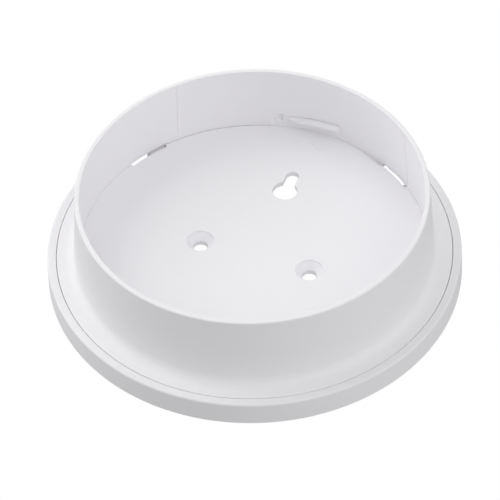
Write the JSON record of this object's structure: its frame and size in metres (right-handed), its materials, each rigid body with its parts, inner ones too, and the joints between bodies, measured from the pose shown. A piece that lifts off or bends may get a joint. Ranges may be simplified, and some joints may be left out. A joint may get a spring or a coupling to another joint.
{
  "type": "smoke detector mounting base",
  "caption": "Round white mounting base for a ceiling smoke detector: a screw-down plate, a twist-lock cup with bayonet ribs for the detector, and a clip-on trim ring.",
  "frame": {"origin": "centre of the back face, which lies on the ceiling", "axes": "+Z out of the cup's mouth, +Y towards the alignment mark and the keyhole's slot, +X along the line of the screw holes"},
  "size_m": [0.12, 0.12, 0.0308],
  "materials": {
    "plate_plastic": "fine satin moulded ABS",
    "cup_plastic": "fine satin moulded ABS",
    "ring_plastic": "fine satin moulded ABS"
  },
  "bodies": {
    "plate": {"mounting_plate": "plate_plastic"},
    "cup": {"cup_sleeve": "cup_plastic", "trim_ring": "ring_plastic"}
  },
  "joints": [
    {"name": "cup_turn", "type": "hinge", "parent": "plate", "child": "cup", "pos_m": [0, 0, 0], "axis": [0, 0, 1], "range_deg": [0, 8.5]}
  ]
}
